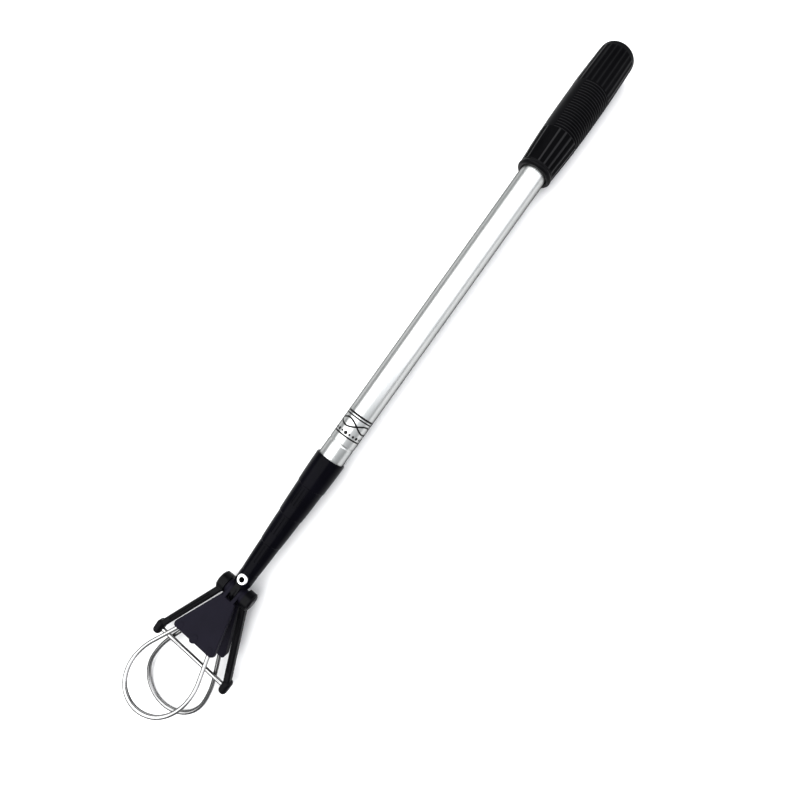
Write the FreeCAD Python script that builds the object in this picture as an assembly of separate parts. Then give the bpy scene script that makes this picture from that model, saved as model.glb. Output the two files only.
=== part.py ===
import FreeCAD, Part
import math
import os

# Telescopic golf ball retriever, collapsed and lying on a flat surface.
#
# Every piece is drawn in the pole's own axes: the pole runs along X with the grip towards +X, the pivot
# axle of the head crosses it along Y at the origin, and Z points up, away from the surface.  save()
# moves each finished piece so that the origin is under the middle of the whole retriever, on the
# surface.  All sizes are millimetres.

# Fits
SNUG = 0.02                  # radial gap between pieces that are fixed together
RUNNING = 0.08               # radial gap between pieces that slide or turn
SIDE_PLAY = 0.20             # gap between neighbours along the pivot axle
THROUGH = 40.0               # long enough for a cutter to pass right through any piece
OVERLAP = 0.2                # how far two shapes reach into each other before they are joined

# Pole: section 1 is the outer tube, section 8 carries the head
OUTER_DIAMETER = 24.3
DIAMETER_STEP = 1.6
WALL = 0.3
SECTION_MOUTHS = [131.0, 122.0, 113.5, 104.0, 94.5, 74.5, 65.0, 27.0]
OUTER_TUBE_TOP = 566.0
TOP_ABOVE_MOUTH = 425.0      # a section's inner end, above the mouth of the section outside it
BUSH_LENGTH = 40.0
CRIMP_INSET = 26.0           # rolled stop ring, above the mouth
CRIMP_HALF_WIDTH = 1.3
SECTION_COUNT = len(SECTION_MOUTHS)

# Grip
GRIP_START = 443.4
GRIP_END = 570.0
GRIP_BEAD_RADIUS = 1.9
GRIP_BEAD_RING = 14.6
GRIP_BARREL = [(448.0, 15.9), (454.0, 16.2), (462.0, 16.75), (471.0, 17.2), (488.0, 17.9),
               (521.0, 18.06), (536.0, 17.93), (549.0, 17.45), (562.0, 16.95), (567.0, 16.7)]
GRIP_MAX_RADIUS = 18.1
GRIP_EDGE = 3.0
GRIP_LIP_STEP = 0.6
PLUG_LENGTH = 8.0
PLUG_WALL = 1.5
PLUG_LID = 2.0
PLUG_FLANGE = 1.4

# Stepped cone that joins the pole to the head: (upper station, upper radius, lower radius)
CONE_SEGMENTS = [(141.3, 13.95, 13.15), (111.4, 12.65, 11.45), (81.2, 11.0, 9.8),
                 (51.5, 9.5, 8.3), (22.0, 8.1, 7.9)]
CONE_END = 9.0
CONE_STEP_SLOPE = 0.5
CONE_BULGE = 0.14
CONE_CHAMBERS = [(141.3, 12.6), (129.0, 11.7), (111.4, 10.15), (81.2, 8.5)]
CONE_SOCKET_FLOOR = 26.5
FLUTE_LENGTH = 17.0
FLUTE_WIDTH = 0.8
FLUTE_DEPTH = 0.35
FLUTE_SPACING = 3.0
FLUTE_BELOW_STEP = 1.2
FLUTE_TAPER = 2.9            # degrees

# Hollow rivet through the cone's small end
RIVET_STATION = 14.4
RIVET_HEAD_RADIUS = 4.9
RIVET_SHANK_RADIUS = 2.6
RIVET_BORE_RADIUS = 1.9
RIVET_SEAT = 7.25
RIVET_HEAD_HEIGHT = 1.5
RIVET_HEAD_ROUND = 1.1
RIVET_HEAD_CLEARANCE = 0.15
RIVET_MOUTH_DEPTH = 0.8
RIVET_MOUTH_FLARE = 0.7

# Hub and the stack of pieces along the pivot axle, from the middle outwards
SPIGOT_RADIUS = 5.8
SPIGOT_TOP = 26.0
TONGUE_HALF_WIDTH = 3.0
TONGUE_RADIUS = 6.6
SPINE_HEIGHT = 1.3
SPINE_WIDTH = 1.8
SHOULDER_RADIUS = 7.4
SHOULDER_LENGTH = 1.8
EAR_RADIUS = 6.0
FRONT_EAR = (3.2, 6.3)
REAR_EAR = (6.5, 9.4)
EYE_INNER = 9.6
EYE_OUTER = 17.8
EYE_RADIUS = 8.0
EYE_CHAMFER = 1.4
AXLE_RADIUS = 2.5
CAP_RADIUS = 5.6
CAP_HEIGHT = 1.6
CAP_PROUD = 0.3
CAP_TEETH = 20
CAP_NOTCH = (3.4, 5.1)       # inner and outer reach of a notch between two teeth
CAP_NOTCH_DEPTH = 0.5
CAP_NOTCH_WIDTH = 0.6
SPRING_WIRE_RADIUS = 0.5
SPRING_COIL_RADIUS = 4.0
SPRING_TURNS = 4
SPRING_POCKET_RADIUS = 5.0
SPRING_POCKET_DEPTH = 5.0

# Wire, cross rod and the fork's two arms
WIRE_RADIUS = 1.75
ROD_AT = 73.0
ROD_HALF_LENGTH = 42.0
ARM_WIDTH = 6.2
ARM_DEPTH = 6.6
ARM_START = (5.0, 12.4)
ARM_FINISH = (70.0, 39.6)
ARM_EDGE = 1.8
ARM_GROOVE_RADIUS = 1.3
ARM_GROOVE_LIFT = 0.7
ARM_GROOVE_INSET = 12.0
KNUCKLE_LENGTH = 12.6
KNUCKLE_RISE = 1.0           # the knuckle's middle sits this much nearer the axle than the rod
KNUCKLE_INNER = 35.8
KNUCKLE_OUTER = 43.8
KNUCKLE_DEPTH = 9.6
KNUCKLE_EDGE = 3.4

# Jaws: a hollow plate on two ears, a cover let into its open side, and a wire loop
PLATE_FACE = 4.6             # from the wire's plane to the plate's outer face
PLATE_OPEN_SIDE = 2.7        # from the wire's plane to the plate's open side
PLATE_SKIN = 1.6
PLATE_CORNER = 3.0
PLATE_EDGE = 1.2
PLATE_BOSS_RADIUS = 3.3
PLATE_BOSS_OVERHANG = 1.2
PLATE_BOSS_HEIGHT = 0.3
EAR_WEB = 0.6
WEB_INTO_PLATE = (2.0, 1.0)   # reach of the webs below the plate's top: outer half, open half
EARS_CLEAR_BELOW = 3.0       # nothing stands out past the plate's sides from here down
COVER_THICKNESS = 0.85
COVER_GAP = 0.05
LEG_TOP = 24.0               # where a wire leg ends inside its plate
LEG_END_GAP = 0.3
LEG_SEAT_HALF = (2.5, 3.0)   # half of a seat along and across the leg
LEG_SEATS = (3.0, 14.0)      # first seat below the leg's end, second above the plate's bottom
EXIT_RADIUS = 2.8            # round swelling where a leg leaves the plate
POST_RADIUS = 2.3
POST_HOLE_DEPTH = 3.6
SCREW_LENGTH = 4.0
SCREW_ROUND = 0.45
SCREW_SLOT = (1.2, 0.22, 0.5)  # half length, half width, depth
SCREW_TOP = 18.0             # reach of the upper cover screw
SCREW_SPREAD = 7.5           # half the distance between the two lower ones
SCREW_ABOVE_BOTTOM = 9.0
SCREW_RADIUS = 0.9
SCREW_HEAD_RADIUS = 1.9
SCREW_HEAD_HEIGHT = 1.0
FRONT_LEAN = 28.0
JAW_REACH = 200.0            # beyond the end of either jaw

FRONT = {"ear": FRONT_EAR, "top": 9.0, "bottom": 49.0, "top_half": 8.0, "bottom_half": 23.2,
         "wide_at": 80.0, "half_width": 28.2, "side_radius": 33.0, "leg_angle": 24.0,
         "tip_at": 105.5, "tip_radius": 33.0}
REAR = {"ear": REAR_EAR, "top": 9.0, "bottom": 55.5, "top_half": 9.4, "bottom_half": 25.3,
        "wide_at": 101.5, "half_width": 31.3, "side_radius": 70.0, "leg_angle": 21.0,
        "tip_at": 131.0, "tip_radius": 33.0}

X_AXIS = FreeCAD.Vector(1, 0, 0)
Y_AXIS = FreeCAD.Vector(0, 1, 0)
Z_AXIS = FreeCAD.Vector(0, 0, 1)

# The rear jaw leans down until its tip and the grip's belly lie on the same surface.  Its legs rest
# behind the cross rod, so the fork leans down a little less.
REAR_DROP = GRIP_MAX_RADIUS - WIRE_RADIUS
REAR_LEAN = math.degrees(math.asin(REAR_DROP / REAR["tip_at"]))
FORK_LEAN = REAR_LEAN - math.degrees(math.asin((2 * WIRE_RADIUS + SNUG) / ROD_AT))
HEAD_REACH = REAR["tip_at"] * math.cos(math.radians(REAR_LEAN)) + WIRE_RADIUS
ORIGIN_SHIFT = FreeCAD.Vector((HEAD_REACH - GRIP_END) / 2, 0, GRIP_MAX_RADIUS)


def vec(x, y, z):
    return FreeCAD.Vector(x, y, z)


def rod(start, direction, radius, length):
    return Part.makeCylinder(radius, length, start, direction)


def block(x0, x1, y0, y1, z0, z1):
    return Part.makeBox(x1 - x0, y1 - y0, z1 - z0, vec(x0, y0, z0))


def line(p, q):
    return Part.LineSegment(p, q).toShape()


def arc(p, middle, q):
    return Part.Arc(p, middle, q).toShape()


def spun(edges):
    """Solid of revolution about the pole's axis from a closed outline in the XZ plane."""
    face = Part.Face(Part.Wire(edges))
    return face.revolve(vec(0, 0, 0), X_AXIS, 360)


def ring(x0, x1, inner, outer):
    return rod(vec(x0, 0, 0), X_AXIS, outer, x1 - x0).cut(rod(vec(x0, 0, 0), X_AXIS, inner, x1 - x0))


def mirrored(shape):
    return shape.mirror(vec(0, 0, 0), Y_AXIS)


def single(shape):
    """The one solid of a boolean result."""
    solids = shape.removeSplitter().Solids
    if len(solids) != 1:
        raise ValueError("expected one solid, got %d" % len(solids))
    return solids[0]


def leaned(shape, degrees):
    """Turns a piece of the head about the axle; positive lifts its free end."""
    turned = shape.copy()
    turned.rotate(vec(0, 0, 0), Y_AXIS, degrees)
    return turned


def section_radius(number):
    return (OUTER_DIAMETER - DIAMETER_STEP * (number - 1)) / 2


def section_top(number):
    if number == 1:
        return OUTER_TUBE_TOP
    return SECTION_MOUTHS[number - 2] + TOP_ABOVE_MOUTH


# ---------------------------------------------------------------- pole

def pole_section(number):
    """Drawn tube with a rolled ring near its mouth that stops the next section's bush."""
    radius = section_radius(number)
    mouth = SECTION_MOUTHS[number - 1]
    top = section_top(number)
    if number == SECTION_COUNT:
        return ring(mouth, top, radius - WALL, radius)
    roll = DIAMETER_STEP / 2 - WALL - RUNNING
    crimp = mouth + CRIMP_INSET
    low = crimp - CRIMP_HALF_WIDTH
    high = crimp + CRIMP_HALF_WIDTH
    edges = []
    for r, reverse in ((radius, False), (radius - WALL, True)):
        run = [line(vec(mouth, 0, r), vec(low, 0, r)),
               arc(vec(low, 0, r), vec(crimp, 0, r - roll), vec(high, 0, r)),
               line(vec(high, 0, r), vec(top, 0, r))]
        edges += run[::-1] if reverse else run
    edges.insert(3, line(vec(top, 0, radius), vec(top, 0, radius - WALL)))
    edges.append(line(vec(mouth, 0, radius - WALL), vec(mouth, 0, radius)))
    return spun(edges)


def guide_bush(number):
    """Thin plastic sleeve on the inner end of a section; it slides in the section outside it."""
    top = section_top(number)
    outside = section_radius(number - 1) - WALL - RUNNING
    return ring(top - BUSH_LENGTH, top, section_radius(number) + SNUG, outside)


def end_plug():
    inside = section_radius(1) - WALL - SNUG
    cup = ring(OUTER_TUBE_TOP - PLUG_LENGTH, OUTER_TUBE_TOP, inside - PLUG_WALL, inside)
    lid = rod(vec(OUTER_TUBE_TOP - PLUG_LID, 0, 0), X_AXIS, inside, PLUG_LID)
    flange = rod(vec(OUTER_TUBE_TOP, 0, 0), X_AXIS, section_radius(1), PLUG_FLANGE)
    return single(cup.fuse([lid, flange]))


def grip_sleeve():
    barrel = Part.BSplineCurve()
    barrel.interpolate([vec(x, 0, r) for x, r in GRIP_BARREL])
    last_x, last_r = GRIP_BARREL[-1]
    first_x, first_r = GRIP_BARREL[0]
    half_turn = math.radians(45)
    corner = vec(last_x + GRIP_EDGE * math.sin(half_turn), 0,
                 last_r - GRIP_EDGE * (1 - math.cos(half_turn)))
    edge_end = vec(GRIP_END, 0, last_r - GRIP_EDGE)
    lip = vec(GRIP_START, 0, first_r - GRIP_LIP_STEP)
    outline = [line(vec(GRIP_START, 0, 0), lip),
               line(lip, vec(first_x, 0, first_r)),
               barrel.toShape(),
               arc(vec(last_x, 0, last_r), corner, edge_end),
               line(edge_end, vec(GRIP_END, 0, 0)),
               line(vec(GRIP_END, 0, 0), vec(GRIP_START, 0, 0))]
    bead = Part.makeTorus(GRIP_BEAD_RING, GRIP_BEAD_RADIUS,
                          vec(GRIP_START + GRIP_BEAD_RADIUS, 0, 0), X_AXIS)
    bore_end = OUTER_TUBE_TOP + PLUG_FLANGE + SNUG
    bore = rod(vec(GRIP_START - 1, 0, 0), X_AXIS, section_radius(1) + SNUG, bore_end - GRIP_START + 1)
    return single(spun(outline).fuse(bead).cut(bore))


# ---------------------------------------------------------------- cone

def cone_outline():
    """Outer profile of the cone: gently bulged segments, each a step smaller than the one above."""
    edges = []
    ends = [segment[0] for segment in CONE_SEGMENTS[1:]] + [CONE_END]
    previous = None
    for (upper, r_upper, r_lower), lower in zip(CONE_SEGMENTS, ends):
        start = vec(upper - CONE_STEP_SLOPE, 0, r_upper)
        finish = vec(lower, 0, r_lower)
        if previous is None:
            previous = vec(upper, 0, r_upper - CONE_STEP_SLOPE)
        edges.append(line(previous, start))
        middle = vec((start.x + lower) / 2, 0, (r_upper + r_lower) / 2 + CONE_BULGE)
        edges.append(arc(start, middle, finish))
        previous = finish
    first = CONE_SEGMENTS[0]
    edges.append(line(previous, vec(CONE_END, 0, 0)))
    edges.append(line(vec(CONE_END, 0, 0), vec(first[0], 0, 0)))
    edges.append(line(vec(first[0], 0, 0), vec(first[0], 0, first[1] - CONE_STEP_SLOPE)))
    return edges


def cone_flutes():
    """Short lengthwise grooves below each step, three on the front and three on the back."""
    cutters = []
    for upper, r_upper, _ in CONE_SEGMENTS[1:-1]:
        for side in (0, 180):
            for offset in (-FLUTE_SPACING, 0.0, FLUTE_SPACING):
                angle = math.degrees(math.asin(offset / r_upper)) + side
                start = upper - FLUTE_BELOW_STEP
                cutter = block(start - FLUTE_LENGTH, start, -FLUTE_WIDTH / 2, FLUTE_WIDTH / 2,
                               r_upper - FLUTE_DEPTH, r_upper + FLUTE_DEPTH)
                cutter.rotate(vec(upper, 0, 0), X_AXIS, angle)
                cutter.rotate(vec(upper, 0, 0), Y_AXIS, FLUTE_TAPER if side else -FLUTE_TAPER)
                cutters.append(cutter)
    return cutters


def through_rivet(radius):
    return rod(vec(RIVET_STATION, 0, -THROUGH / 2), Z_AXIS, radius, THROUGH)


def through_axle(radius):
    return rod(vec(0, -THROUGH / 2, 0), Y_AXIS, radius, THROUGH)


def cone_socket():
    body = spun(cone_outline())
    lower_ends = [chamber[0] for chamber in CONE_CHAMBERS[1:]] + [CONE_SEGMENTS[3][0]]
    cuts = []
    for (upper, radius), lower in zip(CONE_CHAMBERS, lower_ends):
        cuts.append(rod(vec(lower, 0, 0), X_AXIS, radius, upper - lower))
    tube_socket = section_radius(SECTION_COUNT) + SNUG
    cuts.append(rod(vec(CONE_SOCKET_FLOOR, 0, 0), X_AXIS, tube_socket,
                    CONE_SEGMENTS[3][0] - CONE_SOCKET_FLOOR))
    cuts.append(rod(vec(CONE_END, 0, 0), X_AXIS, SPIGOT_RADIUS + SNUG, CONE_SOCKET_FLOOR - CONE_END))
    cuts.append(through_rivet(RIVET_SHANK_RADIUS + SNUG))
    for sign in (-1, 1):
        cuts.append(rod(vec(RIVET_STATION, 0, sign * RIVET_SEAT), Z_AXIS * sign,
                        RIVET_HEAD_RADIUS + RIVET_HEAD_CLEARANCE, THROUGH))
    return single(body.cut(cuts + cone_flutes()))


def cone_rivet():
    """Hollow eyelet: a tube with a rolled flange at each end."""
    shank = rod(vec(RIVET_STATION, 0, -RIVET_SEAT), Z_AXIS, RIVET_SHANK_RADIUS, 2 * RIVET_SEAT)
    pieces = []
    for sign in (-1, 1):
        head = rod(vec(RIVET_STATION, 0, sign * RIVET_SEAT), Z_AXIS * sign,
                   RIVET_HEAD_RADIUS, RIVET_HEAD_HEIGHT)
        far = [edge for edge in head.Edges
               if abs(abs(edge.CenterOfMass.z) - RIVET_SEAT - RIVET_HEAD_HEIGHT) < 0.01]
        pieces.append(head.makeFillet(RIVET_HEAD_ROUND, far))
    mouths = []
    for sign in (-1, 1):
        end = vec(RIVET_STATION, 0, sign * (RIVET_SEAT + RIVET_HEAD_HEIGHT - RIVET_MOUTH_DEPTH))
        mouths.append(Part.makeCone(RIVET_BORE_RADIUS, RIVET_BORE_RADIUS + RIVET_MOUTH_FLARE,
                                    RIVET_MOUTH_DEPTH + SNUG, end, Z_AXIS * sign))
    return single(shank.fuse(pieces).cut([through_rivet(RIVET_BORE_RADIUS)] + mouths))


# ---------------------------------------------------------------- hub and axle

def hub():
    spigot = rod(vec(CONE_END, 0, 0), X_AXIS, SPIGOT_RADIUS, SPIGOT_TOP - CONE_END)
    shoulder = rod(vec(CONE_END - SHOULDER_LENGTH, 0, 0), X_AXIS, SHOULDER_RADIUS,
                   SHOULDER_LENGTH - SNUG)
    neck = block(0, CONE_END, -TONGUE_HALF_WIDTH, TONGUE_HALF_WIDTH, -TONGUE_RADIUS, TONGUE_RADIUS)
    eye = rod(vec(0, -TONGUE_HALF_WIDTH, 0), Y_AXIS, TONGUE_RADIUS, 2 * TONGUE_HALF_WIDTH)
    spine = rod(vec(0, -SPINE_WIDTH / 2, 0), Y_AXIS, TONGUE_RADIUS + SPINE_HEIGHT, SPINE_WIDTH)
    body = spigot.fuse([shoulder, neck, eye, spine])
    return single(body.cut([through_axle(AXLE_RADIUS + RUNNING), through_rivet(RIVET_SHANK_RADIUS + SNUG)]))


def cross_axle():
    reach = EYE_OUTER - CAP_HEIGHT
    return rod(vec(0, -reach, 0), Y_AXIS, AXLE_RADIUS, 2 * reach)


def axle_cap():
    """Knurled cap pressed into the outer face of an arm's eye, at +Y."""
    base = EYE_OUTER - CAP_HEIGHT + SNUG
    top = EYE_OUTER + CAP_PROUD
    disc = rod(vec(0, base, 0), Y_AXIS, CAP_RADIUS, top - base)
    cuts = []
    for index in range(CAP_TEETH):
        notch = block(CAP_NOTCH[0], CAP_NOTCH[1], top - CAP_NOTCH_DEPTH, top + CAP_NOTCH_DEPTH,
                      -CAP_NOTCH_WIDTH / 2, CAP_NOTCH_WIDTH / 2)
        notch.rotate(vec(0, 0, 0), Y_AXIS, 360.0 * index / CAP_TEETH)
        cuts.append(notch)
    return single(disc.cut(cuts))


def jaw_spring():
    """Close-wound torsion coil round the axle, in the pocket of the eye at +Y."""
    inner = SPRING_COIL_RADIUS - SPRING_WIRE_RADIUS
    start = EYE_INNER + SPRING_WIRE_RADIUS
    finish = start + SPRING_TURNS * 2 * SPRING_WIRE_RADIUS
    outline = [line(vec(finish, 0, SPRING_COIL_RADIUS), vec(finish, 0, inner)),
               line(vec(finish, 0, inner), vec(start, 0, inner)),
               line(vec(start, 0, inner), vec(start, 0, SPRING_COIL_RADIUS))]
    for turn in range(SPRING_TURNS):
        low = start + turn * 2 * SPRING_WIRE_RADIUS
        outline.append(arc(vec(low, 0, SPRING_COIL_RADIUS),
                           vec(low + SPRING_WIRE_RADIUS, 0, SPRING_COIL_RADIUS + SPRING_WIRE_RADIUS),
                           vec(low + 2 * SPRING_WIRE_RADIUS, 0, SPRING_COIL_RADIUS)))
    coil = spun(outline)
    coil.rotate(vec(0, 0, 0), Z_AXIS, 90)
    return coil.Solids[0]


# ---------------------------------------------------------------- wire loops

def along(origin, towards, distance):
    """Point at a distance from origin on the line to another point, in a plane."""
    reach = math.hypot(towards[0] - origin[0], towards[1] - origin[1])
    return (origin[0] + (towards[0] - origin[0]) * distance / reach,
            origin[1] + (towards[1] - origin[1]) * distance / reach)


def loop_half(jaw):
    """One half of a wire loop as (reach, side) points: leg end, leg join, side arc, corner arc."""
    slope = math.radians(jaw["leg_angle"])
    wide_at, half_width, radius = jaw["wide_at"], jaw["half_width"], jaw["side_radius"]
    side_centre = (wide_at, half_width - radius)
    leg_join = (wide_at - radius * math.sin(slope), side_centre[1] + radius * math.cos(slope))
    side_middle = (wide_at - radius * math.sin(slope / 2),
                   side_centre[1] + radius * math.cos(slope / 2))
    leg_end = (LEG_TOP, leg_join[1] - (leg_join[0] - LEG_TOP) * math.tan(slope))
    widest = (wide_at, half_width)
    tip_radius = jaw["tip_radius"]
    tip_centre = (jaw["tip_at"] - tip_radius, 0.0)
    gap = tip_centre[0] - wide_at
    corner_radius = (gap ** 2 + half_width ** 2 - tip_radius ** 2) / (2 * (half_width - tip_radius))
    corner_centre = (wide_at, half_width - corner_radius)
    outward = tip_radius * math.copysign(1, tip_radius - corner_radius)
    join = along(tip_centre, corner_centre, outward)
    chord_middle = ((widest[0] + join[0]) / 2, (widest[1] + join[1]) / 2)
    corner_middle = along(corner_centre, chord_middle, corner_radius)
    return [leg_end, leg_join, side_middle, widest, corner_middle, join]


def wire_loop(jaw):
    """Round wire bent into a loop; the second half is the mirror image of the first."""
    points = loop_half(jaw)
    right = [vec(-reach, side, 0) for reach, side in points]
    left = [vec(-reach, -side, 0) for reach, side in points]
    path = [line(right[0], right[1]),
            arc(right[1], right[2], right[3]),
            arc(right[3], right[4], right[5]),
            arc(right[5], vec(-jaw["tip_at"], 0, 0), left[5]),
            arc(left[5], left[4], left[3]),
            arc(left[3], left[2], left[1]),
            line(left[1], left[0])]
    section = Part.Wire(Part.makeCircle(WIRE_RADIUS, right[0], right[1] - right[0]))
    return Part.Wire(path).makePipeShell([section], True, False).Solids[0]


def leg_bore(jaw):
    """Cutter round the straight leg at +Y, from just short of the leg's end."""
    (reach0, side0), (reach1, side1) = loop_half(jaw)[:2]
    direction = vec(reach0 - reach1, side1 - side0, 0).normalize()
    start = vec(-reach0, side0, 0) - direction * LEG_END_GAP
    return rod(start, direction, WIRE_RADIUS + SNUG, jaw["bottom"])


# ---------------------------------------------------------------- fork

def arm_bar():
    """Slanted bar of the arm at +Y with a shallow groove along its front and back."""
    start = vec(-ARM_START[0], ARM_START[1], 0)
    finish = vec(-ARM_FINISH[0], ARM_FINISH[1], 0)
    length = (finish - start).Length
    bar = block(0, length, -ARM_WIDTH / 2, ARM_WIDTH / 2, -ARM_DEPTH / 2, ARM_DEPTH / 2)
    long_edges = [edge for edge in bar.Edges if abs(edge.Length - length) < 0.01]
    bar = bar.makeFillet(ARM_EDGE, long_edges)
    grooves = []
    for sign in (-1, 1):
        centre = vec(ARM_GROOVE_INSET, 0, sign * (ARM_DEPTH / 2 + ARM_GROOVE_LIFT))
        grooves.append(rod(centre, X_AXIS, ARM_GROOVE_RADIUS, length - 2 * ARM_GROOVE_INSET))
    bar = bar.cut(grooves)
    bar.rotate(vec(0, 0, 0), Z_AXIS, math.degrees(math.atan2(finish.y - start.y, finish.x - start.x)))
    bar.translate(start)
    return bar


def knuckle():
    """Rounded block on the arm's end that holds the cross rod."""
    middle = KNUCKLE_RISE - ROD_AT
    body = block(middle - KNUCKLE_LENGTH / 2, middle + KNUCKLE_LENGTH / 2,
                 KNUCKLE_INNER, KNUCKLE_OUTER, -KNUCKLE_DEPTH / 2, KNUCKLE_DEPTH / 2)
    return body.makeFillet(KNUCKLE_EDGE, body.Edges)


def arm():
    """Arm at +Y: eye on the axle with its spring pocket, slanted bar and rod knuckle."""
    eye = rod(vec(0, EYE_INNER, 0), Y_AXIS, EYE_RADIUS, EYE_OUTER - EYE_INNER)
    rim = [edge for edge in eye.Edges if abs(edge.CenterOfMass.y - EYE_OUTER) < 0.01]
    eye = eye.makeChamfer(EYE_CHAMFER, rim)
    body = eye.fuse([arm_bar(), knuckle()])
    # the inner side of the eye stays flat where the bar runs into it
    half_trim = 1.5 * EYE_RADIUS
    trim = block(-half_trim, half_trim, 0, EYE_INNER, -half_trim, half_trim)
    cuts = [trim,
            through_axle(AXLE_RADIUS + SNUG),
            rod(vec(0, EYE_OUTER - CAP_HEIGHT, 0), Y_AXIS, CAP_RADIUS + SNUG, THROUGH),
            rod(vec(0, EYE_INNER, 0), Y_AXIS, SPRING_POCKET_RADIUS, SPRING_POCKET_DEPTH),
            rod(vec(-ROD_AT, 0, 0), Y_AXIS, WIRE_RADIUS + SNUG, ROD_HALF_LENGTH + SNUG)]
    return single(body.cut(cuts))


def cross_rod():
    return rod(vec(-ROD_AT, -ROD_HALF_LENGTH, 0), Y_AXIS, WIRE_RADIUS, 2 * ROD_HALF_LENGTH)


# ---------------------------------------------------------------- jaws
# A jaw is drawn with its wire's plane at Z = 0 and its outer face towards +Z.

def jaw_outline(jaw, inset):
    """Trapezoid of the plate, drawn in by inset."""
    slope = (jaw["bottom_half"] - jaw["top_half"]) / (jaw["bottom"] - jaw["top"])
    side = inset * math.hypot(1, slope)
    top = jaw["top"] + inset
    bottom = jaw["bottom"] - inset
    top_half = jaw["top_half"] + inset * slope - side
    bottom_half = jaw["bottom_half"] - inset * slope - side
    return [(top, -top_half), (top, top_half), (bottom, bottom_half), (bottom, -bottom_half)]


def jaw_prism(jaw, inset, low, high, corner):
    points = [vec(-reach, side, low) for reach, side in jaw_outline(jaw, inset)]
    face = Part.Face(Part.makePolygon(points + points[:1]))
    prism = face.extrude(vec(0, 0, high - low))
    lower_corners = [edge for edge in prism.Edges
                     if abs(edge.Length - (high - low)) < 0.01 and edge.CenterOfMass.x < -LEG_TOP]
    return prism.makeFillet(corner, lower_corners)


def screw_places(jaw):
    """(reach, side) of the three cover screws."""
    low = jaw["bottom"] - SCREW_ABOVE_BOTTOM
    return [(SCREW_TOP, 0.0), (low, SCREW_SPREAD), (low, -SCREW_SPREAD)]


def jaw_ears(jaw):
    """Two ears on the axle with webs down to the plate."""
    near, far = jaw["ear"]
    outer_reach, inner_reach = WEB_INTO_PLATE
    parts = []
    for low in (near, -far):
        high = low + far - near
        parts.append(rod(vec(0, low, 0), Y_AXIS, EAR_RADIUS, high - low))
        parts.append(block(-jaw["top"] - outer_reach, 0, low, high, 0, PLATE_FACE))
        parts.append(block(-jaw["top"] - inner_reach, -EAR_RADIUS + 1, low, high,
                           EAR_WEB - PLATE_OPEN_SIDE, 0))
    return parts


def plate_posts(jaw):
    """Posts under the plate's face that take the cover screws."""
    floor = -PLATE_OPEN_SIDE + COVER_THICKNESS + SNUG
    height = PLATE_FACE - PLATE_SKIN - floor + OVERLAP
    return [rod(vec(-reach, side, floor), Z_AXIS, POST_RADIUS, height)
            for reach, side in screw_places(jaw)]


def leg_seats(jaw):
    """Blocks that hold the two wire legs, and the round swellings where the legs leave the plate."""
    leg_end, leg_join = loop_half(jaw)[:2]
    slope = (leg_join[1] - leg_end[1]) / (leg_join[0] - leg_end[0])
    floor = -PLATE_OPEN_SIDE + COVER_THICKNESS + SNUG
    top = PLATE_FACE - PLATE_SKIN + OVERLAP
    half_length, half_width = LEG_SEAT_HALF
    parts = []
    for reach in (LEG_TOP + LEG_SEATS[0], jaw["bottom"] - LEG_SEATS[1]):
        side = leg_end[1] + (reach - LEG_TOP) * slope
        parts.append(block(-reach - half_length, -reach + half_length,
                           side - half_width, side + half_width, floor, top))
    reach = jaw["bottom"] - EXIT_RADIUS
    side = leg_end[1] + (reach - LEG_TOP) * slope
    parts.append(rod(vec(-reach, side, floor), Z_AXIS, EXIT_RADIUS, PLATE_FACE + PLATE_BOSS_HEIGHT - floor))
    return parts + [mirrored(part) for part in parts]


def jaw_plate(jaw):
    """Hollow trapezoid shell, open on one side, with ears, leg seats and screw posts."""
    shell = jaw_prism(jaw, 0, -PLATE_OPEN_SIDE, PLATE_FACE, PLATE_CORNER)
    face_edges = [edge for edge in shell.Edges if abs(edge.CenterOfMass.z - PLATE_FACE) < 0.01]
    shell = shell.makeFillet(PLATE_EDGE, face_edges)
    hollow = jaw_prism(jaw, PLATE_SKIN, -PLATE_OPEN_SIDE - 1, PLATE_FACE - PLATE_SKIN,
                       PLATE_CORNER - PLATE_SKIN)
    boss_at = jaw["bottom"] - PLATE_BOSS_RADIUS + PLATE_BOSS_OVERHANG
    boss = rod(vec(-boss_at, 0, 0), Z_AXIS, PLATE_BOSS_RADIUS, PLATE_FACE + PLATE_BOSS_HEIGHT)
    body = shell.cut(hollow).fuse([boss] + plate_posts(jaw) + leg_seats(jaw) + jaw_ears(jaw))
    outside = jaw_prism(jaw, 0, -THROUGH, THROUGH, PLATE_CORNER)
    beyond = block(-JAW_REACH, -jaw["top"] - EARS_CLEAR_BELOW, -THROUGH, THROUGH, -THROUGH / 2, THROUGH / 2)
    boss_zone = block(-JAW_REACH, -LEG_TOP, -PLATE_BOSS_RADIUS, PLATE_BOSS_RADIUS, -THROUGH, THROUGH)
    body = body.cut(beyond.cut([outside, boss_zone]))
    leg = leg_bore(jaw)
    near = jaw["ear"][0]
    tongue_room = rod(vec(0, -near, 0), Y_AXIS, TONGUE_RADIUS + SPINE_HEIGHT + SIDE_PLAY, 2 * near)
    cuts = [through_axle(AXLE_RADIUS + RUNNING), leg, mirrored(leg), tongue_room]
    for reach, side in screw_places(jaw):
        cuts.append(rod(vec(-reach, side, -PLATE_OPEN_SIDE), Z_AXIS, SCREW_RADIUS + SNUG,
                        COVER_THICKNESS + POST_HOLE_DEPTH))
    return single(body.cut(cuts))


def jaw_cover(jaw):
    """Flat cover let into the open side of the plate."""
    cover = jaw_prism(jaw, PLATE_SKIN + COVER_GAP, -PLATE_OPEN_SIDE, -PLATE_OPEN_SIDE + COVER_THICKNESS,
                      PLATE_CORNER - PLATE_SKIN)
    holes = [rod(vec(-reach, side, -THROUGH / 2), Z_AXIS, SCREW_RADIUS + SNUG, THROUGH)
             for reach, side in screw_places(jaw)]
    return single(cover.cut(holes))


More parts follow.
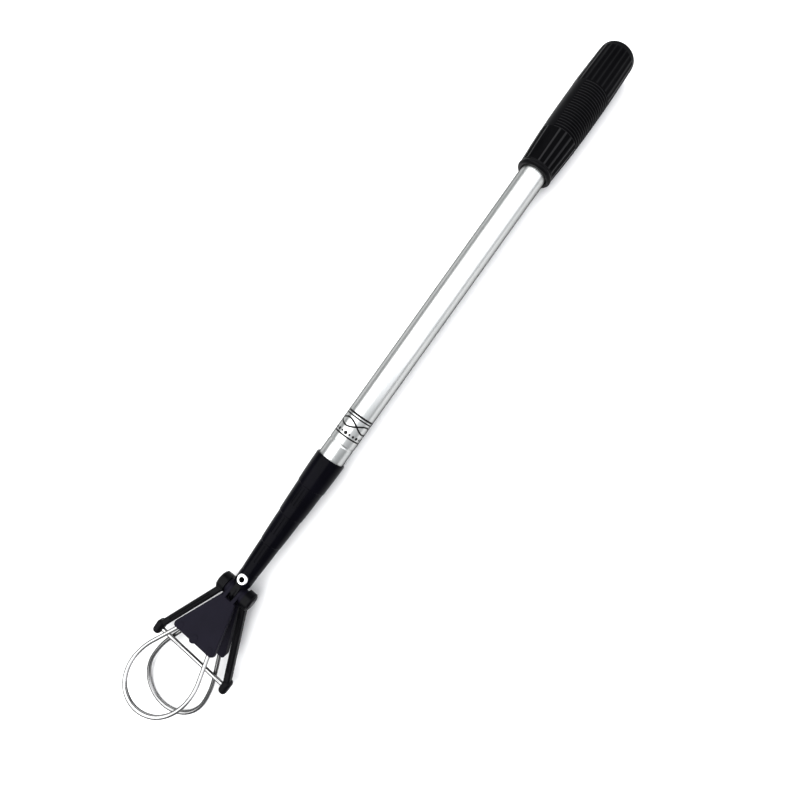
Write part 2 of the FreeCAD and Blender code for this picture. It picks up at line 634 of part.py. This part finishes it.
def cover_screws(jaw):
    """Three small pan-head screws that hold the cover."""
    face = -PLATE_OPEN_SIDE - SNUG
    half_length, half_width, depth = SCREW_SLOT
    screws = []
    for reach, side in screw_places(jaw):
        shank = rod(vec(-reach, side, face), Z_AXIS, SCREW_RADIUS, SCREW_LENGTH)
        head = rod(vec(-reach, side, face - SCREW_HEAD_HEIGHT), Z_AXIS, SCREW_HEAD_RADIUS,
                   SCREW_HEAD_HEIGHT)
        far = [edge for edge in head.Edges if abs(edge.CenterOfMass.z - face + SCREW_HEAD_HEIGHT) < 0.01]
        head = head.makeFillet(SCREW_ROUND, far)
        slots = []
        for angle in (0, 90):
            slot = block(-half_length, half_length, -half_width, half_width,
                         face - 2 * SCREW_HEAD_HEIGHT, face - SCREW_HEAD_HEIGHT + depth)
            slot.rotate(vec(0, 0, 0), Z_AXIS, angle)
            slot.translate(vec(-reach, side, 0))
            slots.append(slot)
        screws.append(single(head.fuse(shank).cut(slots)))
    return screws


def flipped(shape):
    """Turns a jaw piece over, so that its outer face looks towards -Z."""
    return shape.mirror(vec(0, 0, 0), Z_AXIS)


# ---------------------------------------------------------------- output

def save(name, shapes, lean=0.0):
    """Writes one node; shapes is a solid or a list of separate identical solids."""
    solids = shapes if isinstance(shapes, list) else [shapes]
    placed = []
    for solid in solids:
        piece = leaned(solid, lean)
        piece.translate(ORIGIN_SHIFT)
        if not piece.isValid():
            raise ValueError("invalid solid in " + name)
        placed.append(piece)
    shape = placed[0] if len(placed) == 1 else Part.makeCompound(placed)
    shape.exportStep("parts/%s.step" % name)


def main():
    os.makedirs("parts", exist_ok=True)
    save("grip_sleeve", grip_sleeve())
    save("end_plug", end_plug())
    save("outer_tube", pole_section(1))
    for number in range(2, SECTION_COUNT + 1):
        save("tube_%d" % number, pole_section(number))
        save("guide_bush_%d" % number, guide_bush(number))
    save("cone_socket", cone_socket())
    save("cone_rivet", cone_rivet())
    save("hub", hub())

    fork = -FORK_LEAN
    save("cross_axle", cross_axle(), fork)
    save("axle_cap_left", axle_cap(), fork)
    save("axle_cap_right", mirrored(axle_cap()), fork)
    save("arm_left", arm(), fork)
    save("arm_right", mirrored(arm()), fork)
    save("front_jaw_spring", jaw_spring(), fork)
    save("rear_jaw_spring", mirrored(jaw_spring()), fork)
    save("cross_rod", cross_rod(), fork)

    save("front_plate", jaw_plate(FRONT), FRONT_LEAN)
    save("front_cover", jaw_cover(FRONT), FRONT_LEAN)
    save("front_screws", cover_screws(FRONT), FRONT_LEAN)
    save("front_loop", wire_loop(FRONT), FRONT_LEAN)

    save("rear_plate", flipped(jaw_plate(REAR)), -REAR_LEAN)
    save("rear_cover", flipped(jaw_cover(REAR)), -REAR_LEAN)
    save("rear_screws", [flipped(screw) for screw in cover_screws(REAR)], -REAR_LEAN)
    save("rear_loop", wire_loop(REAR), -REAR_LEAN)


main()
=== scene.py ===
import math

import bmesh
import bpy
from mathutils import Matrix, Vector
from mathutils.bvhtree import BVHTree


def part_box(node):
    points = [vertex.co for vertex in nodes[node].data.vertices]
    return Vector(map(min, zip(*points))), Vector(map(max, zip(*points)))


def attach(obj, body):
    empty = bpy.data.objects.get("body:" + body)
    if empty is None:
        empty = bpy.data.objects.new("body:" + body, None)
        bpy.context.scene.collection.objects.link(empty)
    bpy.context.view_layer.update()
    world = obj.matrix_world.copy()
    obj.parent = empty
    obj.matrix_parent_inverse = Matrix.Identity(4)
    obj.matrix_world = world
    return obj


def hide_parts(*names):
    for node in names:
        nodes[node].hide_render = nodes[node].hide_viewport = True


# Looks of the collapsed golf ball retriever.  The pole lies along X with the grip towards +X, and
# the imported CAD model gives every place.  All lengths are metres.
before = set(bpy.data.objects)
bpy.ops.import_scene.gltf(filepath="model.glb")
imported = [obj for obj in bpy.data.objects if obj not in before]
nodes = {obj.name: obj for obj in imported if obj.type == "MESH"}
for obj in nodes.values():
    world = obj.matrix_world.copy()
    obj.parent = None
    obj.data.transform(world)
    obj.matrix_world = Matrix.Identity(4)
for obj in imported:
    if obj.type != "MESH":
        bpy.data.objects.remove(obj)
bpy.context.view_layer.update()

GRIP_LOW, GRIP_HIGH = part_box("grip_sleeve")
TUBE_LOW, TUBE_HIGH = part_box("outer_tube")
CONE_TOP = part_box("cone_socket")[1].x
AXIS_HEIGHT = (TUBE_LOW.z + TUBE_HIGH.z) / 2
TUBE_RADIUS = (TUBE_HIGH.z - TUBE_LOW.z) / 2


def add_object(name, data):
    thing = bpy.data.objects.new(name, data)
    bpy.context.scene.collection.objects.link(thing)
    return thing


# ------------------------------------------------------------------ camera

CAMERA_DISTANCE = 0.413            # from the pole's axis
CAMERA_FROM_GRIP_END = 0.3527      # along the pole
CAMERA_ASIDE = 0.0193              # to the side of the pole's axis
CAMERA_ORBIT = math.radians(10.5)  # round the pole, towards -Y
POLE_SLANT = (0.5806, 0.8142)      # the pole's direction in the picture: right, up
SENSOR = 36.0
FOCAL = 21.375
CLIP_START = 0.01


def make_camera():
    along_pole = Vector((1, 0, 0))
    across_pole = Vector((0, -math.cos(CAMERA_ORBIT), -math.sin(CAMERA_ORBIT)))
    towards_camera = Vector((0, -math.sin(CAMERA_ORBIT), math.cos(CAMERA_ORBIT)))
    right = along_pole * POLE_SLANT[0] + across_pole * POLE_SLANT[1]
    up = along_pole * POLE_SLANT[1] - across_pole * POLE_SLANT[0]
    looked_at = Vector((GRIP_HIGH.x - CAMERA_FROM_GRIP_END, 0, AXIS_HEIGHT))
    place = looked_at + across_pole * CAMERA_ASIDE + towards_camera * CAMERA_DISTANCE
    data = bpy.data.cameras.new("camera")
    data.sensor_width = SENSOR
    data.lens = FOCAL
    data.clip_start = CLIP_START
    camera = add_object("camera", data)
    turn = camera.matrix_world.copy()
    for column, vector in enumerate((right, up, towards_camera, place)):
        for row in range(3):
            turn[row][column] = vector[row]
    camera.matrix_world = turn
    bpy.context.scene.camera = camera


# ------------------------------------------------------------------ materials

class Shader:
    """A material with a Principled shader, and short ways to add and join nodes."""

    def __init__(self, name):
        self.material = bpy.data.materials.new(name)
        self.material.use_nodes = True
        self.tree = self.material.node_tree
        self.surface = self.tree.nodes["Principled BSDF"]
        self.place = self.add("ShaderNodeTexCoord").outputs["Object"]

    def add(self, kind, inputs=(), **settings):
        node = self.tree.nodes.new(kind)
        for key, value in settings.items():
            setattr(node, key, value)
        for key, value in dict(inputs).items():
            self.put(node.inputs[key], value)
        return node

    def put(self, socket, value):
        if isinstance(value, bpy.types.NodeSocket):
            self.tree.links.new(value, socket)
        else:
            socket.default_value = value

    def set(self, **values):
        for key, value in values.items():
            self.put(self.surface.inputs[key.replace("_", " ")], value)

    def noise(self, x, y, z, detail, roughness=0.55):
        """Noise around 0.5, with this many features per metre along each axis."""
        scaled = self.add("ShaderNodeMapping", {"Vector": self.place, "Scale": (x, y, z)})
        return self.add("ShaderNodeTexNoise",
                        {"Vector": scaled.outputs[0], "Scale": 1.0, "Detail": detail,
                         "Roughness": roughness}).outputs["Fac"]

    def remap(self, value, low, high, to_low, to_high):
        return self.add("ShaderNodeMapRange", {"Value": value, "From Min": low, "From Max": high,
                                               "To Min": to_low, "To Max": to_high}).outputs[0]

    def spread(self, noise, to_low, to_high):
        """The range that nearly all of a noise lies in, stretched to a new one."""
        return self.remap(noise, 0.3, 0.7, to_low, to_high)

    def math(self, operation, first, second):
        return self.add("ShaderNodeMath", {0: first, 1: second}, operation=operation).outputs[0]

    def blend(self, factor, first, second):
        node = self.add("ShaderNodeMix", {"Factor": factor}, data_type="RGBA")
        self.put(node.inputs[6], first)
        self.put(node.inputs[7], second)
        return node.outputs[2]

    def bump(self, height, distance, strength, normal=None):
        inputs = {"Height": height, "Distance": distance, "Strength": strength}
        if normal is not None:
            inputs["Normal"] = normal
        return self.add("ShaderNodeBump", inputs).outputs[0]

    def rounded(self, radius):
        """Normals that round sharp edges off."""
        return self.add("ShaderNodeBevel", {"Radius": radius}, samples=4).outputs[0]

    def edge_wear(self, radius):
        """Near 1 along edges, near 0 on open faces."""
        true = self.add("ShaderNodeNewGeometry").outputs["Normal"]
        same = self.add("ShaderNodeVectorMath", {0: self.rounded(radius), 1: true},
                        operation="DOT_PRODUCT").outputs["Value"]
        return self.remap(same, 0.98, 0.80, 0.0, 1.0)


def grey(value):
    return (value, value, value, 1)


# Two tones that each material drifts between
STEEL_TONES = ((0.88, 0.89, 0.88, 1), (0.80, 0.82, 0.81, 1))
CONE_TONES = ((0.0018, 0.0018, 0.0034, 1), (0.0030, 0.0028, 0.0055, 1))
FORK_TONES = ((0.0018, 0.0018, 0.0026, 1), (0.0032, 0.0030, 0.0045, 1))
JAW_TONES = ((0.0075, 0.0066, 0.0130, 1), (0.0105, 0.0093, 0.0170, 1))
RUBBER_TONES = ((0.0015, 0.0015, 0.0020, 1), (0.0028, 0.0028, 0.0034, 1))
PLUG_TONES = (grey(0.02), grey(0.03))
ACETAL_TONES = ((0.78, 0.77, 0.72, 1), (0.84, 0.83, 0.79, 1))
INK_TONES = (grey(0.006), grey(0.05))
PAPER_TONES = (grey(0.86), grey(0.83))

# Lighter grey that the grip's ridges are painted towards, as a painted highlight.
RIDGE_HIGHLIGHT_RUBBER = (0.010, 0.010, 0.012, 1)
EDGE_RADIUS = 0.0004               # roundness of a moulded piece's edges
EDGE_RUB = 2.6                     # how much lighter than its plastic a rubbed edge is

# Light that the smoky coat on bright metal lets through, looked at squarely.  At a slant it lets
# less through, so that the rims of a tube or a wire are dark.
STEEL_COAT = 0.65
WIRE_COAT = 0.45
NO_COAT = 1.0


def drawn_steel():
    """Satin drawn tube: fine lines along the pole, faint handling marks, dark rims."""
    shader = Shader("drawn_steel")
    lines = shader.noise(10, 1500, 1500, detail=3)
    smudge = shader.noise(26, 60, 60, detail=5)
    scratch = shader.noise(300, 5200, 5200, detail=2)
    tone = shader.blend(shader.remap(smudge, 0.35, 0.7, 0, 1), *STEEL_TONES)
    tone = shader.blend(shader.remap(scratch, 0.66, 0.74, 0, 0.15), tone, grey(0.60))
    rough = shader.math("ADD", shader.spread(lines, 0.29, 0.36), shader.spread(smudge, -0.02, 0.04))
    shader.set(Base_Color=tone, Metallic=1.0, Roughness=rough,
               Normal=shader.bump(lines, 0.00001, 0.2),
               Coat_Weight=1.0, Coat_IOR=1.0, Coat_Tint=grey(STEEL_COAT))
    return shader.material


def polished_wire(name, tone, rough, coat=NO_COAT):
    """Bright metal with light wear; a coat darkens its rims."""
    shader = Shader(name)
    fine = shader.noise(1500, 1500, 1500, detail=3)
    broad = shader.noise(70, 70, 70, detail=4)
    color = shader.blend(shader.remap(broad, 0.35, 0.7, 0, 1), grey(tone), grey(tone * 0.82))
    roughness = shader.math("ADD", shader.spread(fine, rough, rough + 0.06),
                            shader.remap(broad, 0.4, 0.8, 0.0, 0.07))
    shader.set(Base_Color=color, Metallic=1.0, Roughness=roughness,
               Normal=shader.bump(fine, 0.00001, 0.3),
               Coat_Weight=1.0, Coat_IOR=1.0, Coat_Tint=grey(coat))
    return shader.material


def moulded_plastic(name, tones, rough, grain, shine=0.35):
    """Moulded plastic: slow colour drift, a fine grain, rubbed edges and a few hairline scuffs."""
    shader = Shader(name)
    drift = shader.noise(55, 55, 55, detail=4)
    pores = shader.noise(5200, 5200, 5200, detail=2)
    waves = shader.noise(210, 210, 210, detail=2)
    scuff = shader.noise(900, 140, 900, detail=6, roughness=0.7)
    rub = shader.math("MULTIPLY", shader.edge_wear(EDGE_RADIUS * 1.6),
                      shader.remap(waves, 0.35, 0.65, 0.07, 0.35))
    rubbed = tuple(min(1, EDGE_RUB * channel) for channel in tones[1])
    color = shader.blend(rub, shader.blend(shader.spread(drift, 0, 1), *tones), rubbed)
    roughness = shader.math("ADD", shader.spread(drift, rough, rough + 0.07),
                            shader.remap(scuff, 0.62, 0.74, 0.0, 0.12))
    normal = shader.bump(waves, 0.00006, 0.5, shader.rounded(EDGE_RADIUS))
    shader.set(Base_Color=color, Roughness=roughness, Specular_IOR_Level=shine,
               Normal=shader.bump(pores, 0.00004 * grain, 0.6, normal))
    return shader.material


def grip_rubber():
    """Soft black rubber with a painted highlight: the ridges are painted greyer, and they are
    glossier and reflect more than the grooves.
    """
    shader = Shader("grip_rubber")
    drift = shader.noise(40, 60, 60, detail=5)
    pores = shader.noise(3600, 3600, 3600, detail=3)
    raised = shader.add("ShaderNodeAttribute", attribute_name="raised").outputs["Fac"]
    # Painted highlight: the higher the relief, the more the colour goes towards the lighter grey.
    worn = shader.math("MULTIPLY", raised, shader.spread(drift, 0.1, 0.4))
    color = shader.blend(worn, shader.blend(shader.spread(drift, 0, 1), *RUBBER_TONES),
                         RIDGE_HIGHLIGHT_RUBBER)
    roughness = shader.math("ADD", shader.spread(drift, 0.40, 0.50),
                            shader.math("MULTIPLY", raised, -0.10))
    # The grooves reflect almost nothing and the ridges more, a painted highlight on the ridges.
    shader.set(Base_Color=color, Roughness=roughness, Normal=shader.bump(pores, 0.00005, 0.6),
               Specular_IOR_Level=shader.remap(raised, 0.55, 1.0, 0.02, 0.22))
    return shader.material


def print_ink():
    """Dark printed ink, slightly worn through."""
    shader = Shader("print_ink")
    speck = shader.noise(2600, 2600, 2600, detail=3)
    color = shader.blend(shader.remap(speck, 0.56, 0.66, 0, 1), *INK_TONES)
    shader.set(Base_Color=color, Roughness=shader.spread(speck, 0.35, 0.5),
               Specular_IOR_Level=0.15, Normal=shader.bump(speck, 0.00002, 0.4))
    return shader.material


def floor_paper():
    """Plain pale studio paper."""
    shader = Shader("floor_paper")
    fibre = shader.noise(900, 900, 900, detail=4)
    cloud = shader.noise(2.0, 2.0, 2.0, detail=3)
    color = shader.blend(shader.spread(cloud, 0, 1), *PAPER_TONES)
    shader.set(Base_Color=color, Roughness=shader.spread(fibre, 0.75, 0.9),
               Normal=shader.bump(fibre, 0.00002, 0.3))
    return shader.material


def paint(material, *names):
    for name in names:
        mesh = nodes[name].data
        mesh.materials.clear()
        mesh.materials.append(material)
        for face in mesh.polygons:
            face.material_index = 0


# Faces of the eyelet within this distance of its axis are painted near-black: painted shade in the
# bore.
BORE_PAINTED_SHADE_WITHIN = 0.0026         # of the eyelet's own axis


def paint_rivet(flange, bore):
    """Bright flanges round a bore that is painted near-black as painted shade."""
    paint(flange, "cone_rivet")
    mesh = nodes["cone_rivet"].data
    mesh.materials.append(bore)
    low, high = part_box("cone_rivet")
    middle = (low + high) / 2
    for face in mesh.polygons:
        if math.hypot(face.center.x - middle.x, face.center.y) < BORE_PAINTED_SHADE_WITHIN:
            # painted shade: the bore's faces take the near-black material
            face.material_index = 1


def paint_cad():
    sections = [name for name in nodes if name.startswith("tube_")]
    bushes = [name for name in nodes if name.startswith("guide_bush_")]
    paint(drawn_steel(), "outer_tube", *sections)
    paint(polished_wire("bright_wire", 0.94, 0.12, WIRE_COAT),
          "cross_rod", "front_loop", "cross_axle")
    # The eyelet's bore gets a near-black steel as painted shade.
    paint_rivet(polished_wire("eyelet_steel", 0.92, 0.26), polished_wire("eyelet_bore_painted_shade", 0.03, 0.5))
    paint(polished_wire("grey_wire", 0.74, 0.16, WIRE_COAT), "rear_loop")
    paint(polished_wire("screw_steel", 0.62, 0.18), "front_screws", "rear_screws")
    paint(polished_wire("spring_steel", 0.45, 0.25), "front_jaw_spring", "rear_jaw_spring")
    paint(moulded_plastic("gloss_black", CONE_TONES, 0.17, 0.25, 0.055), "cone_socket")
    paint(moulded_plastic("satin_black", FORK_TONES, 0.28, 0.6, 0.10),
          "arm_left", "arm_right", "hub", "axle_cap_left", "axle_cap_right")
    paint(moulded_plastic("matte_charcoal", JAW_TONES, 0.45, 1.0, 0.08),
          "front_plate", "front_cover", "rear_plate", "rear_cover")
    paint(moulded_plastic("plug_black", PLUG_TONES, 0.45, 1.0), "end_plug")
    paint(moulded_plastic("bush_acetal", ACETAL_TONES, 0.35, 0.6), *bushes)


# ------------------------------------------------------------------ meshes

def add_mesh(name, points, faces, material, smooth=True):
    mesh = bpy.data.meshes.new(name)
    mesh.from_pydata(points, [], faces)
    mesh.validate()
    for face in mesh.polygons:
        face.use_smooth = smooth
    mesh.materials.append(material)
    return add_object(name, mesh)


def recalc_outwards(piece):
    shape = bmesh.new()
    shape.from_mesh(piece.data)
    bmesh.ops.recalc_face_normals(shape, faces=shape.faces)
    shape.to_mesh(piece.data)
    shape.free()


def on_pole(x, radius, angle):
    """Point at a station and radius on the pole; angle 0 is the top, positive towards -Y."""
    return (x, -radius * math.sin(angle), AXIS_HEIGHT + radius * math.cos(angle))


# Grip ---------------------------------------------------------------
# Places along it are measured from its lower end.  A relief is a height between 0, in a groove,
# and 1, the full radius.

GRIP_AROUND = 288                  # points round it
LIP_END = 0.0036
COLLAR_END = 0.0048                # the smooth collar behind the flared lip
LOWER_END = 0.0363                 # end of the lower flutes
RIB_PITCH = 0.00243
RIBS_END = LOWER_END + 19.5 * RIB_PITCH
TOP_END = 0.1215                   # end of the upper flutes
END_EDGE = 0.003                   # radius of the end's edge
EDGE_SOFT = 0.0009                 # how soon flutes run out

RIB_DEPTH = 0.00055
FLUTE_DEPTH = 0.0006
FLUTE_COUNT = 18                   # a ridge stands on top
TOP_FLUTE_DEPTH = 0.00045
TOP_FLUTE_COUNT = 22               # a groove stands on top

RIB_PANEL = (math.radians(-51), math.radians(28))   # middle and half width
LOWER_PANEL = (math.radians(-21), math.radians(15))
PANEL_SOFT = math.radians(3)
COLLAR_RELIEF = 0.68
LOWER_PANEL_RELIEF = 0.35
RIB_PANEL_RELIEF = 0.60
TOP_RIDGE_RELIEF = 0.74

INSIDE_CAD = 0.00002               # the outline stays this far within the CAD sleeve's
OVER_TUBE = 0.00003                # gap between the bore and the tube
BORE_END = 0.006                   # from the grip's upper end to the end of its bore
MOUTH = ((0.0004, 0.0), (0.0001, 0.0003))   # the bore's mouth: place, widening
END_SHOULDER = 0.0006
END_RECESS = ((0.0, 0.0112), (0.0003, 0.0108), (0.0010, 0.0104), (0.0011, 0.0098),
              (0.0011, 0.0024), (0.0014, 0.0020), (0.0040, 0.0019))   # depth, radius
ABOVE_GRIP = 0.05


def smooth_step(value, low, high):
    t = min(1.0, max(0.0, (value - low) / (high - low)))
    return t * t * (3 - 2 * t)


def in_panel(angle, panel):
    """1 inside a smooth panel, 0 outside; every panel has a twin on the far side of the grip."""
    centre, half = panel
    offset = abs((angle - centre + math.pi / 2) % math.pi - math.pi / 2)
    return 1 - smooth_step(offset, half, half + PANEL_SOFT)


def grip_relief(along, angle):
    """Relief of the moulded pattern at a place, and how deep its grooves are."""
    if along < COLLAR_END or along > TOP_END:
        return COLLAR_RELIEF, FLUTE_DEPTH
    if along < LOWER_END:
        ridge = smooth_step(math.cos(angle * FLUTE_COUNT), 0.0, 0.9)
        panel = in_panel(angle, LOWER_PANEL)
        ends = max(1 - smooth_step(along, COLLAR_END, COLLAR_END + EDGE_SOFT),
                   smooth_step(along, LOWER_END - EDGE_SOFT, LOWER_END))
        relief = ridge * (1 - panel) + LOWER_PANEL_RELIEF * panel
        return max(relief, COLLAR_RELIEF * ends), FLUTE_DEPTH
    if along < RIBS_END:
        wave = 0.5 - 0.5 * math.cos(2 * math.pi * (along - LOWER_END) / RIB_PITCH)
        ridge = 1 - wave ** 0.7
        panel = in_panel(angle, RIB_PANEL)
        return ridge * (1 - panel) + RIB_PANEL_RELIEF * panel, RIB_DEPTH
    wave = 0.5 - 0.5 * math.cos(angle * TOP_FLUTE_COUNT)
    ends = max(1 - smooth_step(along, RIBS_END, RIBS_END + EDGE_SOFT),
               smooth_step(along, TOP_END - 2 * EDGE_SOFT, TOP_END))
    return max(TOP_RIDGE_RELIEF * wave ** 0.8, COLLAR_RELIEF * ends), TOP_FLUTE_DEPTH


def grip_places():
    """Places along the grip: close together round the lip, the ribs and the end's edge."""
    length = GRIP_HIGH.x - GRIP_LOW.x
    places = [LIP_END / 2 * (1 - math.cos(math.pi * i / 22)) for i in range(1, 23)]
    stops = ((COLLAR_END, 8), (COLLAR_END + EDGE_SOFT, 4), (LOWER_END - EDGE_SOFT, 22),
             (LOWER_END, 4), (RIBS_END, 215), (RIBS_END + EDGE_SOFT, 4),
             (TOP_END - 2 * EDGE_SOFT, 16), (TOP_END, 5), (length - END_EDGE, 4))
    low = LIP_END
    for high, count in stops:
        places += [low + (high - low) * i / count for i in range(1, count + 1)]
        low = high
    places += [length - END_EDGE + END_EDGE * math.sin(math.pi / 2 * i / 9) for i in range(1, 9)]
    return places


def plain_ring(x, radius):
    return [(x, radius, 2 * math.pi * step / GRIP_AROUND, 1.0) for step in range(GRIP_AROUND)]


def outside_rings():
    """Rings of (x, radius, angle, relief) under the CAD sleeve's outline."""
    tree = BVHTree.FromObject(nodes["grip_sleeve"], bpy.context.evaluated_depsgraph_get())
    rings = []
    for along in grip_places():
        start = Vector((GRIP_LOW.x + along, 0, AXIS_HEIGHT + ABOVE_GRIP))
        hit = tree.ray_cast(start, Vector((0, 0, -1)))[0]
        outside = hit.z - AXIS_HEIGHT - INSIDE_CAD
        ring = []
        for step in range(GRIP_AROUND):
            angle = 2 * math.pi * step / GRIP_AROUND
            relief, depth = grip_relief(along, angle)
            ring.append((GRIP_LOW.x + along, outside - depth * (1 - relief), angle, relief))
        rings.append(ring)
    return rings


def ring_faces(count):
    """Quads between neighbouring rings of the grip."""
    faces = []
    for row in range(count - 1):
        low, high = row * GRIP_AROUND, (row + 1) * GRIP_AROUND
        for step in range(GRIP_AROUND):
            after = (step + 1) % GRIP_AROUND
            faces.append((low + step, low + after, high + after, high + step))
    return faces


def make_grip(material):
    """Ribbed rubber grip: its outline is the CAD sleeve's, and its pattern is cut below that."""
    bore = TUBE_RADIUS + OVER_TUBE
    bore_end = GRIP_HIGH.x - BORE_END
    end = GRIP_HIGH.x - INSIDE_CAD
    outside = outside_rings()
    first_radius, last_radius = outside[0][0][1], outside[-1][0][1]
    rings = [plain_ring(bore_end, bore)]
    rings += [plain_ring(GRIP_LOW.x + place, bore + wider) for place, wider in MOUTH]
    rings += [plain_ring(GRIP_LOW.x + INSIDE_CAD, (bore + first_radius) / 2)]
    rings += outside
    rings += [plain_ring(end, last_radius - END_SHOULDER)]
    rings += [plain_ring(end - depth, radius) for depth, radius in END_RECESS]
    points = [on_pole(x, radius, angle) for ring in rings for x, radius, angle, relief in ring]
    raised = [relief for ring in rings for x, radius, angle, relief in ring]
    faces = ring_faces(len(rings))
    for row, x, flip in ((0, bore_end, False), (len(rings) - 1, end - END_RECESS[-1][0], True)):
        centre = len(points)
        points.append(on_pole(x, 0.0, 0.0))
        raised.append(0.0)
        for step in range(GRIP_AROUND):
            after = (step + 1) % GRIP_AROUND
            face = (row * GRIP_AROUND + after, row * GRIP_AROUND + step, centre)
            faces.append(face[::-1] if flip else face)
    piece = add_mesh("grip_rubber_sleeve", points, faces, material)
    attribute = piece.data.attributes.new("raised", "FLOAT", "POINT")
    attribute.data.foreach_set("value", raised)
    recalc_outwards(piece)
    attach(piece, "handle")
    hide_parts("grip_sleeve")


# Print on the outer tube ---------------------------------------------

INK_LIFT = 0.00003
INK_THICKNESS = 0.00003
LABEL_FROM_CONE = 0.0360           # from the cone's upper edge to the middle of the band
LABEL_RINGS = ((0.0091, 0.0017), (0.0066, 0.0012), (-0.0118, 0.0013))   # place, width
RING_STEPS = 96
WAVE_HEIGHT = 0.0037
WAVE_LINE = 0.0014
WAVES_ROUND = 2                    # whole waves round the tube
WAVE_START = math.radians(-21)
WAVE_STEPS = 288
DOT_ROW = -0.0089
DOT_SIZES = (0.0032, 0.0018, 0.0022, 0.0026, 0.0018)
DOT_REPEATS = 4
DOT_STEPS = 10
DOT_TIP = 0.00004                  # half the height of a dot at its two ends


def wrapped_strip(pairs):
    """Closed thin strip on the tube from pairs of (place, angle) points, one pair per step."""
    points = [on_pole(x, TUBE_RADIUS + lift, angle) for lift in (INK_LIFT, INK_LIFT + INK_THICKNESS)
              for pair in pairs for x, angle in pair]
    faces = []
    top = 2 * len(pairs)
    for i in range(len(pairs) - 1):
        a, b, c, d = 2 * i, 2 * i + 1, 2 * i + 3, 2 * i + 2
        faces += [(d, c, b, a), (top + a, top + b, top + c, top + d)]
        faces += [(a, top + a, top + d, d), (c, top + c, top + b, b)]
    last = top - 2
    faces += [(0, 1, top + 1, top), (last + 1, last, top + last, top + last + 1)]
    return points, faces


def ring_strip(x, width):
    pairs = []
    for i in range(RING_STEPS + 1):
        angle = 2 * math.pi * i / RING_STEPS
        pairs.append(((x - width / 2, angle), (x + width / 2, angle)))
    return wrapped_strip(pairs)


def wave_strip(x, height):
    """Line that waves round the tube."""
    pairs = []
    for i in range(WAVE_STEPS + 1):
        angle = 2 * math.pi * i / WAVE_STEPS
        phase = WAVES_ROUND * (angle - WAVE_START)
        middle = x + height * math.cos(phase)
        slope = height * WAVES_ROUND * math.sin(phase) / TUBE_RADIUS
        half = WAVE_LINE / 2 * math.hypot(1, slope)
        pairs.append(((middle - half, angle), (middle + half, angle)))
    return wrapped_strip(pairs)


def dot_strip(x, size, angle):
    """Round dot on the tube."""
    pairs = []
    for i in range(DOT_STEPS + 1):
        offset = -math.cos(math.pi * i / DOT_STEPS)
        half = max(DOT_TIP, size / 2 * math.sqrt(1 - offset * offset))
        turn = angle + offset * size / 2 / TUBE_RADIUS
        pairs.append(((x - half, turn), (x + half, turn)))
    return wrapped_strip(pairs)


def make_print(material):
    """Generic printed band: two rings, a braid of two waves, a row of dots and a closing ring."""
    middle = CONE_TOP + LABEL_FROM_CONE
    strips = [ring_strip(middle + offset, width) for offset, width in LABEL_RINGS]
    strips += [wave_strip(middle, sign * WAVE_HEIGHT) for sign in (-1, 1)]
    sizes = DOT_SIZES * DOT_REPEATS
    spacing = 2 * math.pi / len(sizes)
    strips += [dot_strip(middle + DOT_ROW, size, i * spacing) for i, size in enumerate(sizes)]
    points, faces = [], []
    for strip_points, strip_faces in strips:
        base = len(points)
        points += strip_points
        faces += [tuple(base + i for i in face) for face in strip_faces]
    piece = add_mesh("printed_band", points, faces, material)
    recalc_outwards(piece)
    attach(piece, "handle")


# ------------------------------------------------------------------ studio

FLOOR_HALF = 6.0
ROOM_COLOR = (0.96, 0.98, 1.0, 1)
ROOM_STRENGTH = 0.45
VIEW_GAMMA = 0.85


def area_light(name, place, target, size, power, color=(1, 1, 1)):
    data = bpy.data.lights.new(name, "AREA")
    data.shape = "RECTANGLE"
    data.size, data.size_y = size
    data.energy = power
    data.color = color
    lamp = add_object(name, data)
    lamp.location = place
    towards = Vector(target) - Vector(place)
    lamp.rotation_euler = towards.to_track_quat("-Z", "Y").to_euler()


def make_studio():
    corners = [(x * FLOOR_HALF, y * FLOOR_HALF, 0) for x, y in ((-1, -1), (1, -1), (1, 1), (-1, 1))]
    floor = add_mesh("floor", corners, [(0, 1, 2, 3)], floor_paper(), smooth=False)
    area_light("softbox", (-0.1, 0.55, 1.5), (0, 0, 0), (3.6, 2.3), 78)
    area_light("panel", (1.0, -1.06, 1.06), (1.0, 0, 0), (2.1, 1.7), 24, (0.97, 0.97, 1.0))
    world = bpy.data.worlds.new("studio")
    world.use_nodes = True
    background = world.node_tree.nodes["Background"]
    background.inputs["Color"].default_value = ROOM_COLOR
    background.inputs["Strength"].default_value = ROOM_STRENGTH
    bpy.context.scene.world = world
    bpy.context.scene.view_settings.view_transform = "Standard"
    bpy.context.scene.view_settings.gamma = VIEW_GAMMA


make_camera()
paint_cad()
make_grip(grip_rubber())
make_print(print_ink())
make_studio()
